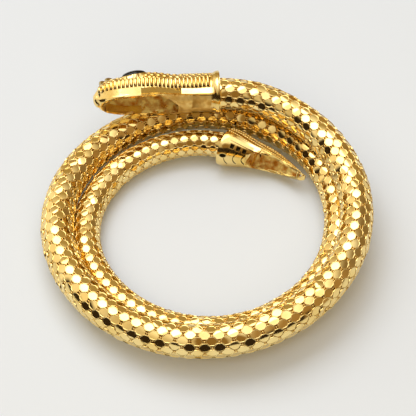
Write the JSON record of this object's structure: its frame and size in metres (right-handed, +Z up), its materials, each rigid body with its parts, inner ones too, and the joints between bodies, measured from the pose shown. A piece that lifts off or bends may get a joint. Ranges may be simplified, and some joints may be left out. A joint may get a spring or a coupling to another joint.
{
  "type": "snake bracelet",
  "caption": "Coiled snake bracelet of plated metal mesh, with a hollow cast head set with dark stones and a hollow pointed tail cap.",
  "frame": {"origin": "centre of the wrist opening, on the surface that the bracelet lies on", "axes": "+Z up along the axis of the coil, +Y towards the back, where the head lies, +X to the right with the head's snout pointing to -X"},
  "size_m": [0.0877, 0.0877, 0.0241],
  "materials": {
    "gold_mesh": "polished gold plate on brass mesh plates",
    "gold_casting": "gold-plated casting, polished outside and rough inside",
    "black_stone": "polished opaque cabochon"
  },
  "bodies": {
    "root": {"body_upper": "gold_mesh", "body_lower": "gold_mesh", "head": "gold_casting", "tail_cap": "gold_casting", "eye_left": "black_stone", "eye_right": "black_stone", "nose_stone_back": "black_stone", "nose_stone_front": "black_stone"}
  },
  "joints": []
}
